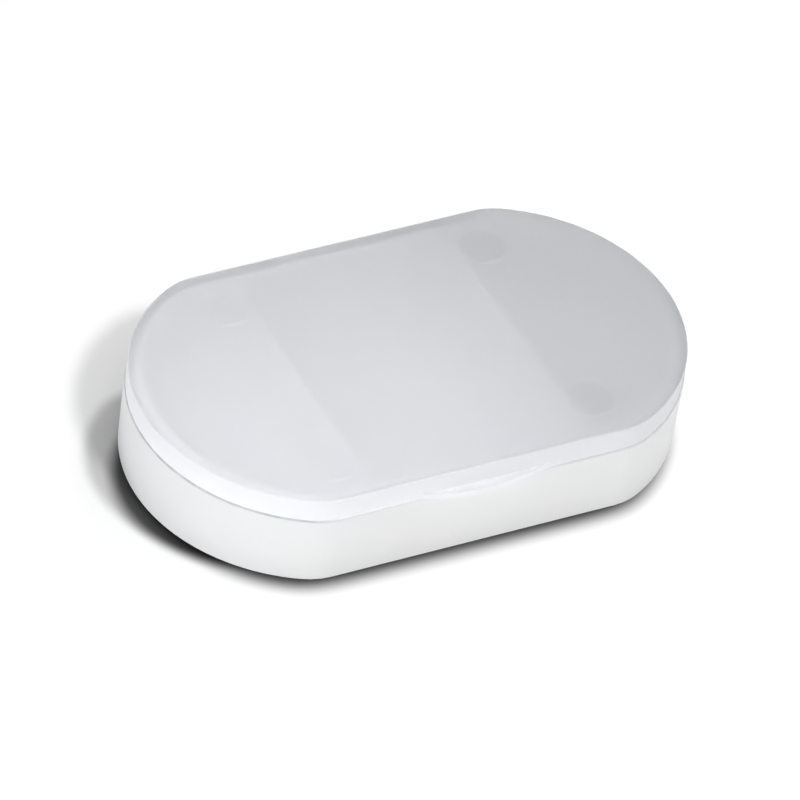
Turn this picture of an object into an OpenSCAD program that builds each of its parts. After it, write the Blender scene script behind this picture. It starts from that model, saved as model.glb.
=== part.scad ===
// Pocket pill case: a tray with three compartments, closed by a hinged lid with a thumb tab.
// Millimetres, +Z up. The origin is the middle of the underside, the hinge is at the back (+Y)
// and the thumb tab is at the front (-Y).

/* [Outline] */
// Length of the tray from end to end
case_l = 91; // [80:0.5:110]
// Width of the tray from front to back
case_w = 54; // [46:0.5:60]
// Distance that each curved end reaches past its corners with the straight sides
end_rise = 18.8; // [12:0.1:23]
// Radius of the four corners between the sides and the ends
corner_round = 12; // [4:0.5:20]

/* [Heights] */
// Height of the tray's shoulder, which the lid closes down to
shoulder_h = 12.4; // [8:0.1:20]
// Gap between the shoulder and the lower edge of the lid
part_gap = 0.15; // [0.1:0.05:0.5]
// Height of the lid from its lower edge to its top face
lid_h = 4.1; // [3.8:0.1:8]
// Gap between the rim of the collar and the underside of the lid
rim_gap = 0.15; // [0.1:0.05:0.5]

/* [Walls] */
// Thickness of the tray's floor
floor_t = 1.4; // [0.8:0.1:2.5]
// Thickness of the collar that stands up inside the lid
collar_t = 1; // [0.8:0.1:1.4]
// Thickness of the lid's skirt
skirt_t = 1.1; // [0.8:0.1:1.4]
// Thickness of the lid's top plate
lid_t = 1.2; // [0.8:0.1:2]
// Clearance between the collar and the skirt
fit_gap = 0.3; // [0.25:0.05:0.5]
// Step by which the tray stands out past the lid's skirt
lid_step = 0.15; // [0:0.05:0.4]
// Lean of the tray's outer wall, from its foot out to its shoulder
wall_draft = 0.25; // [0:0.05:0.6]

/* [Edges] */
// Rounding of the tray's lower edge
foot_round = 0.6; // [0.2:0.1:1.2]
// Rounding of the shoulder's outer edge
shoulder_round = 0.3; // [0.1:0.05:0.6]
// Rounding of the lid's top edge
top_round = 0.3; // [0.2:0.1:1.2]
// Rounding of the lid's lower edge
skirt_round = 0.15; // [0.1:0.05:0.4]
// Rounding of the collar's rim
rim_round = 0.3; // [0.1:0.05:0.35]
// Rounding between the floor and the walls
floor_round = 0.4; // [0.1:0.05:0.4]

/* [Dividers] */
// Distance of each divider's middle plane from the middle of the case
divider_x = 18.6; // [10:0.1:22]
// Thickness of a divider plate
divider_t = 1.2; // [0.8:0.1:2]
// Depth of the wall grooves that hold the divider's two ends
groove_depth = 0.6; // [0.3:0.1:0.7]
// Side clearance of a divider in its grooves
groove_play = 0.05; // [0.02:0.01:0.2]
// Gap between the top of a divider and the underside of the lid
divider_gap = 0.3; // [0.2:0.05:1]
// Chamfer along the top edges of a divider
divider_chamfer = 0.3; // [0.1:0.05:0.35]

/* [Hinge] */
// Distance of each hinge station's middle from the middle of the case
hinge_x = 15; // [9:0.5:18]
// Distance of the hinge axis below the middle of the parting gap
hinge_drop = 0.3; // [0:0.1:0.6]
// Diameter of the hinge pins
pin_d = 1.2; // [0.8:0.1:1.5]
// Outer diameter of the knuckles
knuckle_d = 2.6; // [2.4:0.1:3.2]
// Width of the lid's knuckle
lid_knuckle_w = 5; // [3:0.5:8]
// Width of each of the tray's two knuckles at a station
tray_knuckle_w = 3; // [2:0.5:5]
// Side gap between neighbouring knuckles
knuckle_gap = 0.2; // [0.1:0.05:0.5]
// Clearance between the knuckles and the walls that they turn past
knuckle_clear = 0.25; // [0.2:0.05:0.5]
// Radial running clearance of the lid's knuckles on the pins
pin_play = 0.05; // [0.02:0.01:0.1]
// Radial tightness of the pins in the tray's knuckles
pin_grip = 0.01; // [0:0.005:0.02]
// Distance of each pin end inside the knuckle's outer face
pin_inset = 0.2; // [0:0.05:0.5]

/* [Thumb tab] */
// Width of the tab along the front edge
tab_w = 22.5; // [14:0.5:30]
// Distance that the tab stands out from the lid's skirt, in its middle
tab_reach = 1.2; // [1:0.1:3]
// Distance that the tab hangs below the lid's lower edge, in its middle
tab_drop = 0.9; // [0.5:0.1:3]
// Height of the crease above the lid's lower edge, where the tab's front face ends in its middle
tab_rise = 0.2; // [0.1:0.1:1]
// Radius of the hollow above the crease
tab_scoop = 1.6; // [1.2:0.1:2.2]
// Rounding of the tab's lower front edge
tab_round = 0.25; // [0.1:0.05:0.4]
// Clearance between the back of the tab and the tray's front wall
tab_clear = 0.15; // [0.1:0.05:0.4]

/* [Catch] */
// Length of the catch beads behind the thumb tab
catch_l = 14; // [6:0.5:24]
// Height of each catch bead, measured upwards
catch_h = 0.6; // [0.4:0.1:0.9]
// Distance that each catch bead stands out of its wall
catch_out = 0.1; // [0.05:0.01:0.1]
// Height of the lid's catch bead above the shoulder
catch_z = 0.5; // [0.4:0.1:0.8]
// Clear height between the two closed beads
catch_gap = 0.15; // [0.1:0.05:0.3]

/* [Moulding marks] */
// Diameter of the ejector marks on the lid's underside
mark_d = 7.6; // [4:0.1:9]
// Depth of the ejector marks
mark_depth = 0.3; // [0.05:0.05:0.4]
// Distance of the marks from the tip of the end beside them
mark_end = 23; // [21:0.1:34]
// Distance from the edge of the two back marks to the inside of the skirt
mark_back_gap = 2.8; // [0.5:0.1:9]
// Distance from the edge of the two front marks to the inside of the skirt
mark_front_gap = 3.7; // [0.5:0.1:9]

/* [Hidden] */
$fn = 96;

// Overlap that makes a joined or cut shape run into its neighbour
bite = 0.5;
// Flats that make up each rounded edge, and each of the four corners
round_steps = 3;
corner_steps = 3;
// Share of a knuckle's radius, and the angle from level, where its gusset ends
gusset_share = 0.9;
gusset_angle = 60;
// Angle that the tab's sweep runs on inside the skirt at each end
tab_overrun = 1;

part_z = shoulder_h + part_gap;
total_h = part_z + lid_h;
lid_under = total_h - lid_t;
collar_h = lid_under - rim_gap;
collar_inset = lid_step + skirt_t + fit_gap;
wall_t = collar_inset + collar_t;
lid_back = case_w / 2 - lid_step;
inner_y = case_w / 2 - wall_t;

hinge_y = case_w / 2 + knuckle_clear + knuckle_d / 2;
hinge_z = shoulder_h + part_gap / 2 - hinge_drop;
station_w = lid_knuckle_w + 2 * (knuckle_gap + tray_knuckle_w);

mark_x = case_l / 2 - mark_end;
mark_reach = lid_back - skirt_t - mark_d / 2;

// The tab's lower edge is an arc in a plane that leans down from the lid's lower edge.
tab_lean = atan(tab_drop / tab_reach);
tab_depth = norm([tab_drop, tab_reach]);
tab_r = pow(tab_w / 2, 2) / (2 * tab_depth) + tab_depth / 2;

tray_colour = [0.93, 0.94, 0.95];
lid_colour = [0.86, 0.88, 0.9];
divider_colour = [0.9, 0.91, 0.93];
pin_colour = [0.7, 0.71, 0.73];

// The outline of the case is two straight sides, two arcs and a round at each of the four
// corners. The ends' radius is that of the arc that spans the width and has the ends' rise.
end_r = pow(case_w / 2, 2) / (2 * end_rise) + end_rise / 2;
arc_x = case_l / 2 - end_r;
// Middle of the front corner's round beside each end, and its turn from the side to the end
corner_y = case_w / 2 - corner_round;
corner_x = arc_x + sqrt(pow(end_r - corner_round, 2) - pow(corner_y, 2));
corner_turn = atan((corner_x - arc_x) / corner_y);
// Distance from the middle of the case to a line that touches a corner's round at an angle
function corner_reach(turn) = corner_x * sin(turn) + corner_y * cos(turn) + corner_round;

// Points of a quarter round, from one angle to another
function round_points(x, y, r, from) =
    r > 0
        ? [for (i = [0 : round_steps]) [x, y] + r * [
            cos(from + 90 * i / round_steps),
            sin(from + 90 * i / round_steps)
        ]]
        : [[x, y]];

// Points of a slab's edge from its underside to its top. The edge stands at half from the middle
// at the top, and at lean less at the underside.
function edge_points(half, low, high, low_r, high_r, lean) = concat(
    round_points(half - lean - low_r, low + low_r, low_r, -90),
    round_points(half - high_r, high - high_r, high_r, 0)
);

// The profile across a slab, with an edge on either side.
module across(half, low, high, low_r, high_r, lean) {
    edge = edge_points(half, low, high, low_r, high_r, lean);
    last = len(edge) - 1;
    polygon(concat(edge, [for (i = [last : -1 : 0]) [-edge[i].x, edge[i].y]]));
}

// A slab with the outline of the case, set in by a distance and rounded along its edges.
module slab(inset, low, high, low_r = 0, high_r = 0, lean = 0) {
    side = case_w / 2 - inset;
    end = edge_points(end_r - inset, low, high, low_r, high_r, lean);
    intersection() {
        union() {
            bar(2 * arc_x + 2 * bite) across(side, low, high, low_r, high_r, lean);
            for (turn = [0, 180])
                rotate([0, 0, turn])
                    intersection() {
                        translate([arc_x, 0, 0])
                            rotate_extrude() polygon(concat([[0, low]], end, [[0, high]]));
                        translate([arc_x + end_r / 2, 0, 0])
                            bar(end_r) across(side, low, high, low_r, high_r, lean);
                    }
        }
        intersection_for (way = [-1, 1], i = [0 : corner_steps - 1]) {
            turn = corner_turn * (i + 0.5) / corner_steps;
            rotate([0, 0, way * turn])
                bar(2 * case_l)
                    across(corner_reach(turn) - inset, low, high, low_r, high_r, lean);
        }
    }
}

// A bar along X with its middle at x = 0, from a profile drawn in Y and Z.
module bar(length) {
    translate([-length / 2, 0, 0]) rotate([90, 0, 90]) linear_extrude(length) children();
}

// A round bar along X on the hinge axis.
module on_axis(length, radius) {
    bar(length) translate([hinge_y, hinge_z]) circle(radius);
}

module at_hinges() {
    for (side = [-1, 1])
        translate([side * hinge_x, 0, 0]) children();
}

// A point inside a knuckle, near its surface, where a gusset ends
function gusset_end(angle) =
    [hinge_y, hinge_z] + gusset_share * knuckle_d / 2 * [cos(angle), sin(angle)];

// The tray's two knuckles at a station, each with a gusset down to the back wall.
module tray_knuckles() {
    root = case_w / 2 - bite;
    offset_x = (lid_knuckle_w + tray_knuckle_w) / 2 + knuckle_gap;
    for (side = [-1, 1])
        translate([side * offset_x, 0, 0])
            bar(tray_knuckle_w) {
                translate([hinge_y, hinge_z]) circle(knuckle_d / 2);
                polygon([
                    [root, shoulder_h],
                    [hinge_y, shoulder_h],
                    gusset_end(-gusset_angle),
                    [root, hinge_z - knuckle_d / 2 - (hinge_y - root)]
                ]);
            }
}

// The lid's knuckle at a station, with a gusset up to the back of the skirt.
module lid_knuckle() {
    root = lid_back - bite;
    bar(lid_knuckle_w) {
        translate([hinge_y, hinge_z]) circle(knuckle_d / 2);
        polygon([
            [root, part_z],
            [hinge_y, part_z],
            gusset_end(gusset_angle),
            [root, min(hinge_z + knuckle_d / 2 + hinge_y - root, total_h - top_round)]
        ]);
    }
}

// A bead with sloping flanks along the front, from a wall at depth y, facing -Y or +Y.
module catch_bead(y, z, facing) {
    bar(catch_l)
        polygon([
            [y - facing * bite, z],
            [y, z],
            [y + facing * catch_out, z + catch_h / 3],
            [y + facing * catch_out, z + catch_h * 2 / 3],
            [y, z + catch_h],
            [y - facing * bite, z + catch_h]
        ]);
}

module tray_catch() {
    catch_bead(-(case_w / 2 - collar_inset), shoulder_h + catch_z + catch_h + catch_gap, -1);
}

module lid_catch() {
    catch_bead(-(lid_back - skirt_t), shoulder_h + catch_z, 1);
}

// Grooves in the front and back walls for a divider, from the floor to the rim.
module divider_grooves() {
    w = divider_t + 2 * groove_play;
    reach = inner_y + groove_depth;
    for (side = [-1, 1])
        translate([side * divider_x, 0, 0])
            translate([-w / 2, -reach, floor_t]) cube([w, 2 * reach, total_h]);
}

// The tray: floor, walls, shoulder, collar, catch bead and hinge knuckles.
module base_tray() {
    color(tray_colour)
        difference() {
            union() {
                slab(0, 0, shoulder_h, foot_round, shoulder_round, wall_draft);
                slab(collar_inset, floor_t, collar_h, 0, rim_round);
                tray_catch();
                at_hinges() tray_knuckles();
            }
            slab(wall_t, floor_t, total_h, floor_round, 0);
            divider_grooves();
            at_hinges() on_axis(station_w + 2 * bite, pin_d / 2 - pin_grip);
        }
}

// A divider plate, seated on the floor and in its two wall grooves.
module divider(side) {
    top = lid_under - divider_gap;
    half = divider_t / 2;
    reach = inner_y + groove_depth - groove_play;
    translate([side * divider_x, reach, 0])
        rotate([90, 0, 0])
            linear_extrude(2 * reach)
                polygon([
                    [-half, floor_t],
                    [half, floor_t],
                    [half, top - divider_chamfer],
                    [half - divider_chamfer, top],
                    [divider_chamfer - half, top],
                    [-half, top - divider_chamfer]
                ]);
}

module divider_left() {
    color(divider_colour) divider(-1);
}

module divider_right() {
    color(divider_colour) divider(1);
}

// The thumb tab: a crescent along the front, hollowed above its front face. Its profile is drawn
// from its lower front edge in the middle, and swept along the leaning arc.
module thumb_tab() {
    crease = tab_drop + tab_rise;
    back = -tab_reach - skirt_t;
    spread = 2 * (asin(tab_w / 2 / tab_r) + tab_overrun);
    front = lid_back + tab_reach + bite;
    low = part_z - tab_drop - bite;
    hollow = [for (i = [0 : 2 * round_steps])
        [0, crease + tab_scoop] - tab_scoop * [
            sin(90 * i / (2 * round_steps)),
            cos(90 * i / (2 * round_steps))
        ]];
    intersection() {
        translate([0, -lid_back, part_z])
            rotate([tab_lean, 0, 0])
                translate([0, tab_r - tab_depth, 0])
                    rotate([0, 0, -90 - spread / 2])
                        rotate_extrude(angle = spread)
                            translate([tab_r, 0])
                                rotate(tab_lean)
                                    polygon(concat(
                                        [[back, 0]],
                                        round_points(-tab_round, tab_round, tab_round, -90),
                                        hollow,
                                        [[back, crease + tab_scoop]]
                                    ));
        union() {
            translate([-tab_w, -front, part_z])
                cube([2 * tab_w, front - lid_back + skirt_t / 2, lid_h]);
            translate([-tab_w, -front, low])
                cube([2 * tab_w, front - case_w / 2 - tab_clear, part_z + bite - low]);
        }
    }
}

// Ejector marks, sunk into the lid's underside.
module ejector_marks() {
    for (side = [-1, 1])
        for (y = [mark_reach - mark_back_gap, mark_front_gap - mark_reach])
            translate([side * mark_x, y, lid_under - bite])
                cylinder(h = mark_depth + bite, d = mark_d);
}

// The lid: top plate, skirt, thumb tab, catch bead and hinge knuckles.
module lid() {
    color(lid_colour)
        difference() {
            union() {
                difference() {
                    union() {
                        slab(lid_step, part_z, total_h, skirt_round, top_round);
                        at_hinges() lid_knuckle();
                    }
                    slab(lid_step + skirt_t, shoulder_h - bite, lid_under);
                }
                thumb_tab();
                lid_catch();
            }
            ejector_marks();
            at_hinges() on_axis(lid_knuckle_w + 2 * knuckle_gap, pin_d / 2 + pin_play);
        }
}

module hinge_pin(side) {
    color(pin_colour)
        translate([side * hinge_x, 0, 0]) on_axis(station_w - 2 * pin_inset, pin_d / 2);
}

module hinge_pin_left() {
    hinge_pin(-1);
}

module hinge_pin_right() {
    hinge_pin(1);
}

base_tray();
divider_left();
divider_right();
lid();
hinge_pin_left();
hinge_pin_right();
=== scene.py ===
# Pocket pill case: frosted plastic tray and lid, two dividers and steel hinge pins. Metres.
import bpy
import math
from mathutils import Matrix, Vector

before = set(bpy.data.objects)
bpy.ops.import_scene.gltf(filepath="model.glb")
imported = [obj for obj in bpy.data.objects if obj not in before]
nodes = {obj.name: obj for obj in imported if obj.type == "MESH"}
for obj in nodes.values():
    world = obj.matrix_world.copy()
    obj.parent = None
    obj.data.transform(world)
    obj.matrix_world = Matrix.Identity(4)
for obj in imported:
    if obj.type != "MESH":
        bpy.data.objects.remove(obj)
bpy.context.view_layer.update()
print("case loaded:", ", ".join(sorted(nodes)))


# Small helpers for node trees
def addNode(tree, kind, label="", **settings):
    node = tree.nodes.new(kind)
    node.label = label
    for name, value in settings.items():
        setattr(node, name, value)
    return node


# A socket takes a plain value, or a link from another node
def feed(tree, socket, value):
    if isinstance(value, bpy.types.NodeSocket):
        tree.links.new(value, socket)
    else:
        socket.default_value = value


def noiseNode(tree, vector, label, scale, detail=3.0, roughness=0.5):
    noise = addNode(tree, "ShaderNodeTexNoise", label)
    noise.inputs["Detail"].default_value = detail
    noise.inputs["Roughness"].default_value = roughness
    feed(tree, noise.inputs["Scale"], scale)
    feed(tree, noise.inputs["Vector"], vector)
    return noise.outputs["Fac"]


def mathNode(tree, operation, *values, label=""):
    node = addNode(tree, "ShaderNodeMath", label, operation=operation)
    for socket, value in zip(node.inputs, values):
        feed(tree, socket, value)
    return node.outputs["Value"]


def rangeNode(tree, value, label, fromRange, toRange=(0.0, 1.0), smooth=False):
    node = addNode(tree, "ShaderNodeMapRange", label)
    if smooth:
        node.interpolation_type = "SMOOTHSTEP"
    names = ("From Min", "From Max", "To Min", "To Max", "Value")
    for name, part in zip(names, (*fromRange, *toRange, value)):
        feed(tree, node.inputs[name], part)
    return node.outputs["Result"]


def mixColours(tree, mask, first, second, label=""):
    node = addNode(tree, "ShaderNodeMix", label, data_type="RGBA")
    feed(tree, node.inputs["Factor"], mask)
    for name, colour in (("A", first), ("B", second)):
        feed(tree, node.inputs[name], (*colour, 1.0) if isinstance(colour, tuple) else colour)
    return node.outputs["Result"]


def axesOf(tree, vector):
    node = addNode(tree, "ShaderNodeSeparateXYZ")
    feed(tree, node.inputs["Vector"], vector)
    return node.outputs


def distanceOf(tree, alongX, alongY):
    squareX = mathNode(tree, "MULTIPLY", alongX, alongX)
    squareY = mathNode(tree, "MULTIPLY", alongY, alongY)
    return mathNode(tree, "SQRT", mathNode(tree, "ADD", squareX, squareY))


# The bright surround shows to the camera, in shiny metal and through the clear plastic
def surroundRays(tree):
    rays = addNode(tree, "ShaderNodeLightPath").outputs
    direct = mathNode(tree, "MAXIMUM", rays["Is Camera Ray"], rays["Is Glossy Ray"])
    return mathNode(tree, "MAXIMUM", direct, rays["Is Transmission Ray"])


def startMaterial(name):
    material = bpy.data.materials.new(name)
    material.use_nodes = True
    tree = material.node_tree
    tree.nodes.clear()
    surface = addNode(tree, "ShaderNodeOutputMaterial").inputs["Surface"]
    return material, tree, surface


def startGroup(name, inputs, outputs):
    group = bpy.data.node_groups.new(name, "ShaderNodeTree")
    for label, value in inputs.items():
        socket = group.interface.new_socket(label, in_out="INPUT", socket_type="NodeSocketFloat")
        socket.default_value = value
    for label in outputs:
        group.interface.new_socket(label, in_out="OUTPUT", socket_type="NodeSocketFloat")
    given = addNode(group, "NodeGroupInput").outputs
    result = addNode(group, "NodeGroupOutput").inputs
    return group, given, result


def placeGroup(tree, group, values=None):
    node = addNode(tree, "ShaderNodeGroup", group.name, node_tree=group)
    for name, value in (values or {}).items():
        node.inputs[name].default_value = value
    return node.outputs


# The mould's spark-eroded skin: a fine grain, and slow clouds in the milky plastic
mouldSkin = {
    "grainScale": 3000.0,
    "grainDetail": 2.0,
    "cloudScale": 150.0,
    "cloudDetail": 4.0,
    "cloudRoughness": 0.6,
    "cloudRange": (0.3, 0.7),
    "tintScale": 0.45,         # of the clouds' scale
    "tintDetail": 2.0,
    "tintRange": (0.35, 0.65),
}


def makeMouldFrost(skin):
    scales = {"Grain Scale": skin["grainScale"], "Cloud Scale": skin["cloudScale"]}
    group, given, result = startGroup("mouldFrost", scales, ["Grain", "Clouds", "Tint"])
    place = addNode(group, "ShaderNodeTexCoord").outputs["Object"]
    grain = noiseNode(group, place, "grain", given["Grain Scale"], skin["grainDetail"])
    clouds = noiseNode(group, place, "clouds", given["Cloud Scale"], skin["cloudDetail"],
                       skin["cloudRoughness"])
    tintScale = mathNode(group, "MULTIPLY", given["Cloud Scale"], skin["tintScale"])
    tint = noiseNode(group, place, "tint", tintScale, skin["tintDetail"])
    feed(group, result["Grain"], grain)
    feed(group, result["Clouds"], rangeNode(group, clouds, "clouds", skin["cloudRange"]))
    feed(group, result["Tint"], rangeNode(group, tint, "tint", skin["tintRange"]))
    return group


# Hairline rubs from a pocket: two sets of long thin streaks, broken up into patches
hairlines = {
    "streakScale": 90.0,
    "streakDetail": 1.0,
    "spread": 0.5,
    "turns": (0.5, -0.9),      # radians, one for each set
    "stretches": (30.0, 42.0),
    "streakRange": (0.66, 0.74),
    "patchScale": 60.0,
    "wornRange": (0.95, 1.15),
}


def makePocketRubs(lines):
    scales = {"Streak Scale": lines["streakScale"], "Spread": lines["spread"]}
    group, given, result = startGroup("pocketRubs", scales, ["Rubs"])
    place = addNode(group, "ShaderNodeTexCoord").outputs["Object"]
    streaks = []
    for turn, stretch in zip(lines["turns"], lines["stretches"]):
        direction = addNode(group, "ShaderNodeMapping", "streak direction")
        direction.inputs["Rotation"].default_value = (0.0, 0.0, turn)
        feed(group, direction.inputs["Vector"], place)
        width = addNode(group, "ShaderNodeMapping", "streak width")
        width.inputs["Scale"].default_value = (1.0, stretch, 1.0)
        feed(group, width.inputs["Vector"], direction.outputs["Vector"])
        line = noiseNode(group, width.outputs["Vector"], "streaks", given["Streak Scale"],
                         lines["streakDetail"])
        streaks.append(rangeNode(group, line, "thin", lines["streakRange"], smooth=True))
    both = mathNode(group, "MAXIMUM", *streaks)
    patches = noiseNode(group, place, "patches", lines["patchScale"])
    near = mathNode(group, "ADD", patches, given["Spread"])
    worn = rangeNode(group, near, "worn patches", lines["wornRange"])
    feed(group, result["Rubs"], mathNode(group, "MULTIPLY", both, worn))
    return group


# Rounded edges, found by the lean of the surface: a painted highlight in their colour, and a
# smoother, shinier surface where they rub
edgeHighlightAndShine = {
    "width": 1.0,
    "top": 1.0,                # metres, so the whole piece
    "range": (0.02, 0.2),
}


def makeEdgeHighlightAndPolish(edges):
    scales = {"Width": edges["width"], "Top": edges["top"]}
    group, given, result = startGroup("edgeHighlightAndPolish", scales, ["Edge"])
    coords = addNode(group, "ShaderNodeTexCoord").outputs
    lean = axesOf(group, coords["Normal"])["Z"]
    height = axesOf(group, coords["Object"])["Z"]
    square = mathNode(group, "MULTIPLY", lean, lean)
    slope = mathNode(group, "MULTIPLY", square, mathNode(group, "SUBTRACT", 1.0, square))
    wide = mathNode(group, "MULTIPLY", slope, given["Width"])
    below = mathNode(group, "LESS_THAN", height, given["Top"])
    edge = rangeNode(group, wide, "edge", edges["range"])
    feed(group, result["Edge"], mathNode(group, "MULTIPLY", edge, below))
    return group


# Painted shade on the tray's shoulder, in the seam under the lid: most of it at the left end
pocketDust = {
    "low": 0.0121,             # the shoulder lies between these heights
    "high": 0.0125,
    "rightShare": 0.12,
    "upward": (0.45, 0.7),     # how level the plastic is before the painted shade lies on it
    "leftFade": (-0.031, -0.022),
    "patchScale": 500.0,
    "patchRange": (0.3, 0.6),
    "thinnest": 0.6,
}


def makeSeamDust(seamDark):
    scales = {"Low": seamDark["low"], "High": seamDark["high"], "Right Share": seamDark["rightShare"]}
    group, given, result = startGroup("seamDust", scales, ["Dust"])
    coords = addNode(group, "ShaderNodeTexCoord").outputs
    place = axesOf(group, coords["Object"])
    lean = axesOf(group, coords["Normal"])["Z"]
    above = mathNode(group, "GREATER_THAN", place["Z"], given["Low"])
    below = mathNode(group, "LESS_THAN", place["Z"], given["High"])
    ledge = mathNode(group, "MULTIPLY", above, below)
    upward = rangeNode(group, lean, "upward", seamDark["upward"])
    leftFade = rangeNode(group, place["X"], "leftFade", seamDark["leftFade"], (1.0, 0.0))
    share = mathNode(group, "MAXIMUM", leftFade, given["Right Share"])
    patches = rangeNode(group, noiseNode(group, coords["Object"], "patches", seamDark["patchScale"]),
                        "patches", seamDark["patchRange"], (seamDark["thinnest"], 1.0))
    shadedLedge = mathNode(group, "MULTIPLY", mathNode(group, "MULTIPLY", ledge, upward), share)
    feed(group, result["Dust"], mathNode(group, "MULTIPLY", shadedLedge, patches))
    return group


# Four ejector marks, where the plate is thinner: painted shade on each disc, and a painted
# highlight on the front side of its rim
ejectorMarks = {
    "middle": (-0.0004, -0.0002),
    "halfX": 0.0225,
    "halfY": 0.0187,
    "radius": 0.0038,
    "softEdge": (0.86, 1.06),  # of the radius
    "leftShare": 0.2,
    "leftRange": (-0.01, 0.01),
    "highlightSide": (0.0, -1.0),
    "highlightStart": 0.84,         # of the radius
    "highlightWidth": 0.0007,
}


def makeEjectorMarks(marks):
    group, given, result = startGroup(
        "ejectorMarks", {"Left Share": marks["leftShare"]}, ["Discs", "Burrs"])
    place = axesOf(group, addNode(group, "ShaderNodeTexCoord").outputs["Object"])
    beside = []
    toSide = []
    for axis, middle, half, side in zip("XY", marks["middle"], (marks["halfX"], marks["halfY"]),
                                        marks["highlightSide"]):
        across = mathNode(group, "SUBTRACT", place[axis], middle)
        fromMark = mathNode(group, "SUBTRACT", mathNode(group, "ABSOLUTE", across), half)
        signed = mathNode(group, "MULTIPLY", fromMark, mathNode(group, "SIGN", across))
        beside.append(fromMark)
        toSide.append(mathNode(group, "MULTIPLY", signed, side))
    distance = distanceOf(group, *beside)
    radius = marks["radius"]
    rim = [radius * share for share in marks["softEdge"]]
    disc = rangeNode(group, distance, "disc", rim, (1.0, 0.0), smooth=True)
    share = rangeNode(group, place["X"], "left share", marks["leftRange"])
    strength = mathNode(group, "MAXIMUM", share, given["Left Share"])
    feed(group, result["Discs"], mathNode(group, "MULTIPLY", disc, strength))

    # A painted highlight on the front side of each mark's rim
    facing = rangeNode(group, mathNode(group, "ADD", *toSide), "burr side",
                       (radius * marks["highlightStart"], radius), smooth=True)
    offRing = mathNode(group, "ABSOLUTE", mathNode(group, "SUBTRACT", distance, radius))
    ring = rangeNode(group, offRing, "paintedHighlight", (0.0, marks["highlightWidth"]), (1.0, 0.0), smooth=True)
    feed(group, result["Burrs"], mathNode(group, "MULTIPLY", ring, facing))
    return group


mouldFrost = makeMouldFrost(mouldSkin)
pocketRubs = makePocketRubs(hairlines)
edgeHighlightAndPolish = makeEdgeHighlightAndPolish(edgeHighlightAndShine)
seamDust = makeSeamDust(pocketDust)
markMasks = makeEjectorMarks(ejectorMarks)
print("finish groups made")


# Frosted plastic: milky body, mould grain, cloudiness, pocket rubs, edges with a painted highlight
# and more shine, and for some pieces painted shade in the seam and on ejector marks, with painted
# highlights on the marks' rims
def makeFrostedPlastic(name, finish):
    material, tree, surface = startMaterial(name)
    shader = addNode(tree, "ShaderNodeBsdfPrincipled", "plastic")
    plastic = shader.inputs
    plastic["IOR"].default_value = finish["ior"]
    plastic["Transmission Weight"].default_value = finish["clearness"]
    frost = placeGroup(tree, mouldFrost, {
        "Grain Scale": finish["grainScale"], "Cloud Scale": finish["cloudScale"]})
    rubs = placeGroup(tree, pocketRubs, {
        "Streak Scale": finish["rubScale"], "Spread": finish["rubSpread"]})
    edge = placeGroup(tree, edgeHighlightAndPolish, {
        "Width": finish["edgeWidth"], "Top": finish["edgeTop"]})

    # Each layer of colour lies over the one before
    tint = mathNode(tree, "MULTIPLY", frost["Tint"], finish["tintShare"])
    # The edge mask paints a highlight into the colour of the rounded edges
    edgeHighlight = mathNode(tree, "MULTIPLY", edge["Edge"], finish["edgeHighlightShare"])
    layers = [
        ("clouds", frost["Clouds"], finish["cloudColour"]),
        ("tint", tint, finish["tintColour"]),
        ("edges", edgeHighlight, finish["edgeHighlightColour"]),
    ]
    # Painted shade in the seam under the lid, on the tray's shoulder
    if "seamShadeColour" in finish:
        seamDark = placeGroup(tree, seamDust)["Dust"]
        layers.append(("seamDark", seamDark, finish["seamShadeColour"]))
    # Painted shade on the ejector marks' discs, and a painted highlight on their rims
    if "discShadeColour" in finish:
        marks = placeGroup(tree, markMasks)
        discs = mathNode(tree, "MULTIPLY", marks["Discs"], finish["discShadeShare"])
        rimHighlights = mathNode(tree, "MULTIPLY", marks["Burrs"], finish["highlightShare"])
        layers.append(("discs", discs, finish["discShadeColour"]))
        layers.append(("rimHighlights", rimHighlights, finish["highlightColour"]))
    colour = finish["colour"]
    for label, mask, layerColour in layers:
        colour = mixColours(tree, mask, colour, layerColour, label)
    feed(tree, plastic["Base Color"], colour)

    grainRoughness = finish["grainRoughness"]
    uneven = rangeNode(tree, frost["Grain"], "grain", finish["grainRange"],
                       (-grainRoughness, grainRoughness))
    roughness = mathNode(tree, "ADD", uneven, finish["roughness"])
    roughness = mathNode(tree, "MULTIPLY_ADD", rubs["Rubs"], finish["rubRoughness"], roughness)
    roughness = mathNode(tree, "MULTIPLY_ADD", edge["Edge"], -finish["edgeShine"], roughness)
    feed(tree, plastic["Roughness"], roughness)

    rubDepth = mathNode(tree, "MULTIPLY", rubs["Rubs"], -finish["rubDepth"])
    bump = addNode(tree, "ShaderNodeBump", "skin")
    bump.inputs["Strength"].default_value = finish["bumpStrength"]
    bump.inputs["Distance"].default_value = finish["bumpHeight"]
    feed(tree, bump.inputs["Height"], mathNode(tree, "ADD", frost["Grain"], rubDepth))
    feed(tree, plastic["Normal"], bump.outputs["Normal"])
    feed(tree, surface, shader.outputs["BSDF"])
    return material


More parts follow.
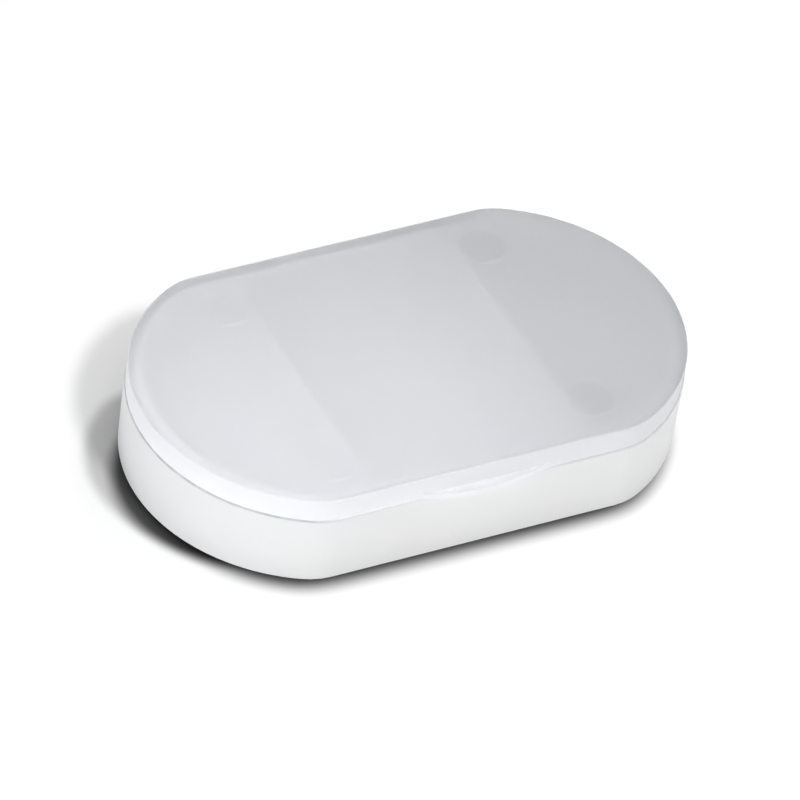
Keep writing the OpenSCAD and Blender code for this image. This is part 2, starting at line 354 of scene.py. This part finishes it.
trayFinish = {
    "colour": (0.915, 0.922, 0.933),
    "cloudColour": (0.93, 0.932, 0.941),
    "tintColour": (0.89, 0.915, 0.94),
    "tintShare": 0.35,
    "ior": 1.49,
    "clearness": 0.15,
    "roughness": 0.46,
    "grainScale": 2600.0,      # waves per metre, a grain of about 0.4 mm
    "grainRange": (0.3, 0.7),
    "grainRoughness": 0.05,
    "bumpStrength": 0.35,
    "bumpHeight": 0.00002,
    "cloudScale": 130.0,
    "rubScale": 80.0,
    "rubSpread": 0.5,
    "rubRoughness": 0.08,
    "rubDepth": 0.6,
    "edgeWidth": 1.0,
    "edgeTop": 0.0130,         # higher edges lie under the lid, and get no painted highlight and no extra shine
    # Rounded edges get a painted highlight in a paler colour
    "edgeHighlightShare": 0.5,
    "edgeHighlightColour": (0.96, 0.965, 0.97),
    "edgeShine": 0.1,
}

# The tray gets painted shade in the seam under the lid
seamShadedTray = dict(trayFinish, seamShadeColour=(0.58, 0.58, 0.59))

lidFinish = dict(
    trayFinish,
    colour=(0.891, 0.897, 0.911),
    cloudColour=(0.905, 0.910, 0.921),
    tintColour=(0.872, 0.888, 0.919),
    edgeTop=0.0150,            # below the top's rim, which keeps its colour
    edgeHighlightShare=1.0,
    edgeHighlightColour=(1.0, 1.0, 1.0),
    # Painted shade on the ejector marks, and a painted highlight on their rims
    discShadeColour=(0.55, 0.56, 0.58),
    discShadeShare=0.09,
    highlightColour=(1.0, 1.0, 1.0),
    highlightShare=0.7,
    clearness=0.56,
    roughness=0.72,
    cloudScale=110.0,
    rubSpread=0.55,
)

# The dividers' colour is darker than the tray's: painted shade, as they stand inside the case
dividerFinish = dict(
    trayFinish,
    colour=(0.82, 0.825, 0.83),
    cloudColour=(0.84, 0.84, 0.845),
    edgeTop=0.0,               # no edge inside the case gets the painted highlight and the extra shine
    rubSpread=0.4,
)

# Drawn steel wire: fine lines along the pin, with slow patches of duller metal
wireFinish = {
    "colour": (0.60, 0.60, 0.61),
    "dullColour": (0.50, 0.50, 0.52),
    "dullScale": 700.0,
    "dullRange": (0.4, 0.65),
    "roughness": (0.28, 0.40),
    "lineRange": (0.3, 0.7),
    "lineScale": 4000.0,
    "lineStretch": 0.02,       # along the pin
    "bumpStrength": 0.3,
    "bumpHeight": 0.000008,
}


def makePinSteel(finish):
    material, tree, surface = startMaterial("pinSteel")
    shader = addNode(tree, "ShaderNodeBsdfPrincipled", "steel")
    steel = shader.inputs
    steel["Metallic"].default_value = 1.0
    place = addNode(tree, "ShaderNodeTexCoord").outputs["Object"]
    stretch = addNode(tree, "ShaderNodeMapping", "drawn lines")
    stretch.inputs["Scale"].default_value = (finish["lineStretch"], 1.0, 1.0)
    feed(tree, stretch.inputs["Vector"], place)
    lines = noiseNode(tree, stretch.outputs["Vector"], "lines", finish["lineScale"])
    patches = noiseNode(tree, place, "dull patches", finish["dullScale"])
    dull = rangeNode(tree, patches, "dull", finish["dullRange"])
    feed(tree, steel["Base Color"],
         mixColours(tree, dull, finish["colour"], finish["dullColour"]))
    feed(tree, steel["Roughness"],
         rangeNode(tree, lines, "uneven", finish["lineRange"], finish["roughness"]))
    bump = addNode(tree, "ShaderNodeBump", "drawn skin")
    bump.inputs["Strength"].default_value = finish["bumpStrength"]
    bump.inputs["Distance"].default_value = finish["bumpHeight"]
    feed(tree, bump.inputs["Height"], lines)
    feed(tree, steel["Normal"], bump.outputs["Normal"])
    feed(tree, surface, shader.outputs["BSDF"])
    return material


finishes = {
    "base_tray": makeFrostedPlastic("trayPlastic", seamShadedTray),
    "lid": makeFrostedPlastic("lidPlastic", lidFinish),
    "divider_left": makeFrostedPlastic("dividerPlastic", dividerFinish),
    "hinge_pin_left": makePinSteel(wireFinish),
}
finishes["divider_right"] = finishes["divider_left"]
finishes["hinge_pin_right"] = finishes["hinge_pin_left"]
for name, material in finishes.items():
    nodes[name].material_slots[0].material = material
print("finishes placed on", len(finishes), "pieces")


# The moulded edges are small flats, so their shading runs on round them and stops at real corners
roundEdges = {
    "weld": 1e-6,
    "sharpAngle": 38.0,
    "faceWeight": 90,
}


def makeRoundEdges(settings):
    group = bpy.data.node_groups.new("roundEdges", "GeometryNodeTree")
    for side in ("INPUT", "OUTPUT"):
        group.interface.new_socket("Geometry", in_out=side, socket_type="NodeSocketGeometry")
    start = addNode(group, "NodeGroupInput")
    merge = addNode(group, "GeometryNodeMergeByDistance", "weld")
    merge.inputs["Distance"].default_value = settings["weld"]
    smoothFaces = addNode(group, "GeometryNodeSetShadeSmooth", "smooth faces", domain="FACE")
    smoothEdges = addNode(group, "GeometryNodeSetShadeSmooth", "smooth edges", domain="EDGE")
    angle = addNode(group, "GeometryNodeInputMeshEdgeAngle")
    gentle = addNode(group, "FunctionNodeCompare", "gentle edges", operation="LESS_THAN")
    gentle.inputs[1].default_value = math.radians(settings["sharpAngle"])
    feed(group, gentle.inputs[0], angle.outputs["Unsigned Angle"])
    feed(group, smoothEdges.inputs["Shade Smooth"], gentle.outputs[0])
    chain = [start, merge, smoothFaces, smoothEdges, addNode(group, "NodeGroupOutput")]
    for before, after in zip(chain, chain[1:]):
        feed(group, after.inputs[0], before.outputs[0])
    return group


smoothing = makeRoundEdges(roundEdges)
for piece in nodes.values():
    modifier = piece.modifiers.new("roundEdges", "NODES")
    modifier.node_group = smoothing
    weighted = piece.modifiers.new("flatFaces", "WEIGHTED_NORMAL")
    weighted.keep_sharp = True
    weighted.weight = roundEdges["faceWeight"]
print("edges smoothed")


# Pale paper floor: white to the camera, with the case's shadow and a painted contact shadow where
# it stands
floorPaper = {
    "halfSize": 6.0,
    "colour": (0.88, 0.876, 0.87),
    "cameraColour": 0.70,      # white where the lamps reach it
    "fade": (0.075, 0.15),     # distances from the middle of the case
    "footSide": 0.0267,        # from the middle to the foot's straight sides
    "footArcMiddle": 0.01671,
    "footArc": 0.02854,
    "footBlend": 0.003,        # rounding of the four corners
    # Painted contact shadow where the case stands: a narrow layer to the front, and two to the
    # left
    "contacts": (
        {"shift": (-0.00123, -0.00305), "width": (-0.00341, 0.00102), "depth": 0.92},
        {"shift": (-0.012, -0.0019), "width": (-0.01058, -0.00722), "depth": 0.875},
        {"shift": (-0.012, 0.00268), "width": (-0.00827, -0.00539), "depth": 0.385},
    ),
}


# Distance of a floor point from the outline of the case's foot, moved by shift
def footDistance(tree, settings, shift):
    place = addNode(tree, "ShaderNodeNewGeometry").outputs["Position"]
    moved = addNode(tree, "ShaderNodeVectorMath", "shift of the outline", operation="SUBTRACT")
    moved.inputs[1].default_value = (*shift, 0.0)
    feed(tree, moved.inputs[0], place)
    parts = axesOf(tree, moved.outputs["Vector"])
    alongX = mathNode(tree, "ABSOLUTE", parts["X"])
    alongY = mathNode(tree, "ABSOLUTE", parts["Y"])
    fromMiddle = mathNode(tree, "SUBTRACT", alongX, settings["footArcMiddle"])
    pastMiddle = mathNode(tree, "MAXIMUM", fromMiddle, 0.0)
    fromArc = mathNode(tree, "SUBTRACT", distanceOf(tree, pastMiddle, alongY), settings["footArc"])
    fromSide = mathNode(tree, "SUBTRACT", alongY, settings["footSide"])
    return mathNode(tree, "SMOOTH_MAX", fromArc, fromSide, settings["footBlend"],
                    label="foot outline")


def makeFloor(settings):
    half = settings["halfSize"]
    corners = [(-half, -half, 0), (half, -half, 0), (half, half, 0), (-half, half, 0)]
    mesh = bpy.data.meshes.new("floor")
    mesh.from_pydata(corners, [], [(0, 1, 2, 3)])
    floor = bpy.data.objects.new("floor", mesh)
    bpy.context.scene.collection.objects.link(floor)
    material, tree, surface = startMaterial("floorPaper")
    mesh.materials.append(material)

    seen = surroundRays(tree)
    shade = settings["cameraColour"]
    # Each layer darkens the paper: a painted contact shadow round the foot
    for contact in settings["contacts"]:
        distance = footDistance(tree, settings, contact["shift"])
        layer = rangeNode(tree, distance, "contact", contact["width"],
                          (1 - contact["depth"], 1.0), smooth=True)
        shade = mathNode(tree, "MULTIPLY", layer, shade, label="contact")
    grey = addNode(tree, "ShaderNodeCombineColor", "paper for the camera")
    for name in ("Red", "Green", "Blue"):
        feed(tree, grey.inputs[name], shade)
    paper = addNode(tree, "ShaderNodeBsdfDiffuse", "paper")
    feed(tree, paper.inputs["Color"],
         mixColours(tree, seen, settings["colour"], grey.outputs["Color"]))

    white = addNode(tree, "ShaderNodeEmission", "white surround")
    length = addNode(tree, "ShaderNodeVectorMath", "distance from the case", operation="LENGTH")
    feed(tree, length.inputs[0], addNode(tree, "ShaderNodeNewGeometry").outputs["Position"])
    fade = rangeNode(tree, length.outputs["Value"], "fade", settings["fade"], smooth=True)
    mix = addNode(tree, "ShaderNodeMixShader")
    feed(tree, mix.inputs["Fac"], mathNode(tree, "MULTIPLY", fade, seen))
    feed(tree, mix.inputs[1], paper.outputs["BSDF"])
    feed(tree, mix.inputs[2], white.outputs["Emission"])
    feed(tree, surface, mix.outputs["Shader"])
    return floor


floor = makeFloor(floorPaper)

studio = {
    "light": 0.235,            # the room's light on the case and the floor
    "seen": 1.0,               # what the camera, the metal and the clear plastic see of it
}


def makeStudio(settings):
    world = bpy.data.worlds.new("studio")
    bpy.context.scene.world = world
    world.use_nodes = True
    tree = world.node_tree
    tree.nodes.clear()
    background = addNode(tree, "ShaderNodeBackground")
    level = rangeNode(tree, surroundRays(tree), "level", (0.0, 1.0),
                      (settings["light"], settings["seen"]))
    feed(tree, background.inputs["Strength"], level)
    output = addNode(tree, "ShaderNodeOutputWorld")
    feed(tree, output.inputs["Surface"], background.outputs["Background"])


makeStudio(studio)

# Soft boxes, and one spot with a cone. "on" says what a lamp lights: the case, or the floor
# under it. A lamp with no aim points at the middle of the case's foot
warm = (1.0, 0.975, 0.94)
cool = (0.952, 0.979, 1.0)
lamps = {
    "nearBox": {
        "place": (-0.13, -0.09, 0.20), "size": (0.10, 0.10), "watts": 0.083,
        "on": "case", "colour": warm,
    },
    "frontBox": {
        "place": (-0.05, -0.62, 0.16), "size": (0.5, 0.3), "watts": 0.48,
        "on": "case", "colour": warm,
    },
    "rightBox": {
        "place": (0.30, -0.26, 0.42), "size": (0.3, 0.2), "watts": 0.255,
        "on": "case", "colour": warm,
    },
    "rearBox": {
        "place": (-0.20, 0.45, 0.35), "size": (0.4, 0.3), "watts": 0.20,
        "on": "case", "colour": cool,
    },
    "leftSpot": {
        "place": (-0.35, -0.14, 0.49), "size": (0.08, 0.08), "watts": 4.95,
        "on": "case", "colour": cool, "aim": (-0.034, -0.021, 0.01), "cone": 15.5, "blend": 1.0,
    },
    "floorBox": {
        "place": (0.045, -0.485, 0.72), "size": (0.12, 0.12), "watts": 3.9, "on": "floor",
    },
    "backBox": {
        "place": (0.42, 0.34, 0.60), "size": (0.2, 0.2), "watts": 0.7, "on": "floor",
    },
    "sweepBox": {
        "place": (0.0, -0.10, 0.60), "size": (2.4, 2.4), "watts": 18.5, "on": "floor",
    },
}


def makeCollection(name, members):
    collection = bpy.data.collections.new(name)
    for member in members:
        collection.objects.link(member)
    return collection


lit = {
    "case": makeCollection("litCase", nodes.values()),
    "floor": makeCollection("litFloor", [floor]),
}
# The lid is milky, so it lets the lamps' light through to the tray
solid = makeCollection("castsShadow", [piece for name, piece in nodes.items() if name != "lid"])


def makeLamp(name, settings):
    data = bpy.data.lights.new(name, "SPOT" if "cone" in settings else "AREA")
    if "cone" in settings:
        data.spot_size = math.radians(settings["cone"])
        data.spot_blend = settings["blend"]
        data.shadow_soft_size = settings["size"][0] / 2
    else:
        data.shape = "RECTANGLE"
        data.size, data.size_y = settings["size"]
    data.energy = settings["watts"]
    data.color = settings.get("colour", (1.0, 1.0, 1.0))
    lamp = bpy.data.objects.new(name, data)
    lamp.location = settings["place"]
    toAim = Vector(settings.get("aim", (0.0, 0.0, 0.0))) - Vector(settings["place"])
    lamp.rotation_euler = toAim.to_track_quat("-Z", "Y").to_euler()
    lamp.light_linking.receiver_collection = lit[settings["on"]]
    if settings["on"] == "case":
        lamp.light_linking.blocker_collection = solid
    bpy.context.scene.collection.objects.link(lamp)


for name, settings in lamps.items():
    makeLamp(name, settings)
print("floor, studio and", len(lamps), "lamps placed")

cameraView = {
    "azimuth": -32.533,        # degrees, 0 looks along +Y
    "elevation": 41.492,
    "roll": 9.072,
    "distance": 1.66004,
    "lens": 481.86,            # millimetres, as the sensor's width is
    "sensor": 36,
    "farEnd": 20,
    "aim": (-0.000618, -0.000507, 0.007256),
}


def makeCamera(settings):
    azimuth, elevation, roll = (
        math.radians(settings[name]) for name in ("azimuth", "elevation", "roll"))
    back = Vector((math.sin(azimuth) * math.cos(elevation),
                   -math.cos(azimuth) * math.cos(elevation),
                   math.sin(elevation)))
    level = Vector((math.cos(azimuth), math.sin(azimuth), 0))
    steep = back.cross(level)
    right = level * math.cos(roll) + steep * math.sin(roll)
    up = steep * math.cos(roll) - level * math.sin(roll)
    turn = Matrix((right, up, back)).transposed().to_4x4()
    data = bpy.data.cameras.new("camera")
    data.lens = settings["lens"]
    data.sensor_width = settings["sensor"]
    data.clip_end = settings["farEnd"]
    camera = bpy.data.objects.new("camera", data)
    place = Vector(settings["aim"]) + back * settings["distance"]
    camera.matrix_world = Matrix.Translation(place) @ turn
    bpy.context.scene.collection.objects.link(camera)
    bpy.context.scene.camera = camera


makeCamera(cameraView)
bpy.context.scene.view_settings.view_transform = "Standard"
print("camera placed")
